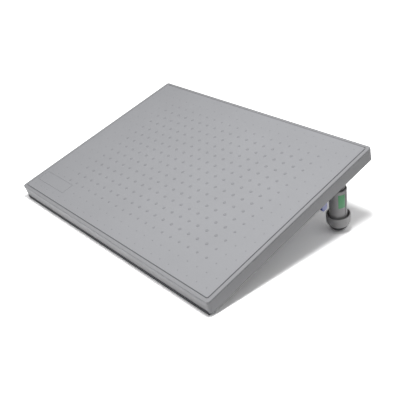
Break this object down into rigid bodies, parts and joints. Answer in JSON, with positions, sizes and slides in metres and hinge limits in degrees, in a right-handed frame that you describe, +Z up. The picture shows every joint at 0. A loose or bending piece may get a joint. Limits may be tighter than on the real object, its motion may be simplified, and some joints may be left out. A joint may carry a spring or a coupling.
{
  "type": "tilting footrest",
  "caption": "Wide sloping footrest platform with a dimpled tread, a rubber front edge, and rear legs that slide on guide posts to set its height and slope.",
  "frame": {"origin": "on the floor, under the middle of the footrest's bounding box", "axes": "+X to the user's right along the front edge, +Y to the rear where the legs stand, +Z up"},
  "size_m": [0.45, 0.3296, 0.1291],
  "materials": {
    "shell_plastic": "fine moulded grain, satin",
    "tread_plastic": "fine moulded grain, matte",
    "leg_plastic": "fine moulded grain, satin",
    "post_plastic": "smooth moulded, satin",
    "blue_plastic": "semi-gloss",
    "green_mark": "satin",
    "black_rubber": "matte",
    "pin_steel": "turned",
    "screw_steel": "zinc plated",
    "spring_steel": "drawn wire"
  },
  "bodies": {
    "platform": {"base_shell": "shell_plastic", "deck_ribs": "shell_plastic", "tread_plate": "tread_plastic", "tread_screws": "screw_steel", "front_strip": "black_rubber", "left_guide_post": "post_plastic", "left_post_screws": "screw_steel", "left_lever_pin": "pin_steel", "left_brake_ring": "black_rubber", "left_return_spring": "spring_steel", "right_guide_post": "post_plastic", "right_post_screws": "screw_steel", "right_lever_pin": "pin_steel", "right_brake_ring": "black_rubber", "right_return_spring": "spring_steel"},
    "left_leg": {"left_leg_tube": "leg_plastic", "left_height_mark": "green_mark", "left_foot_cup": "leg_plastic", "left_cup_pins": "pin_steel", "left_rubber_foot": "black_rubber"},
    "left_lever": {"left_release_lever": "blue_plastic"},
    "left_rod": {"left_lock_rod": "pin_steel", "left_pressure_washer": "pin_steel", "left_rod_nut": "pin_steel"},
    "right_leg": {"right_leg_tube": "leg_plastic", "right_height_mark": "green_mark", "right_foot_cup": "leg_plastic", "right_cup_pins": "pin_steel", "right_rubber_foot": "black_rubber"},
    "right_lever": {"right_release_lever": "blue_plastic"},
    "right_rod": {"right_lock_rod": "pin_steel", "right_pressure_washer": "pin_steel", "right_rod_nut": "pin_steel"}
  },
  "joints": [
    {"name": "left_leg_slide", "type": "slide", "parent": "platform", "child": "left_leg", "axis": [0, -0.1736, 0.9848], "range_m": [0, 0.0295]},
    {"name": "left_lever_hinge", "type": "hinge", "parent": "platform", "child": "left_lever", "pos_m": [-0.205, 0.08682, 0.09666], "axis": [-1, 0, 0], "range_deg": [0, 6]},
    {"name": "left_rod_slide", "type": "slide", "parent": "platform", "child": "left_rod", "axis": [0, 0.1736, -0.9848], "range_m": [0, 0.0023], "stiffness_N_per_m": 2066, "springref_m": -0.0033, "deforming": ["left_return_spring"]},
    {"name": "right_leg_slide", "type": "slide", "parent": "platform", "child": "right_leg", "axis": [0, -0.1736, 0.9848], "range_m": [0, 0.0295]},
    {"name": "right_lever_hinge", "type": "hinge", "parent": "platform", "child": "right_lever", "pos_m": [0.205, 0.08682, 0.09666], "axis": [-1, 0, 0], "range_deg": [0, 6]},
    {"name": "right_rod_slide", "type": "slide", "parent": "platform", "child": "right_rod", "axis": [0, 0.1736, -0.9848], "range_m": [0, 0.0023], "stiffness_N_per_m": 2066, "springref_m": -0.0033, "deforming": ["right_return_spring"]}
  ],
  "couplings": [
    {"joint": "left_lever_hinge", "follows": "left_rod_slide", "rad_per_m": 45.455},
    {"joint": "right_lever_hinge", "follows": "right_rod_slide", "rad_per_m": 45.455}
  ]
}
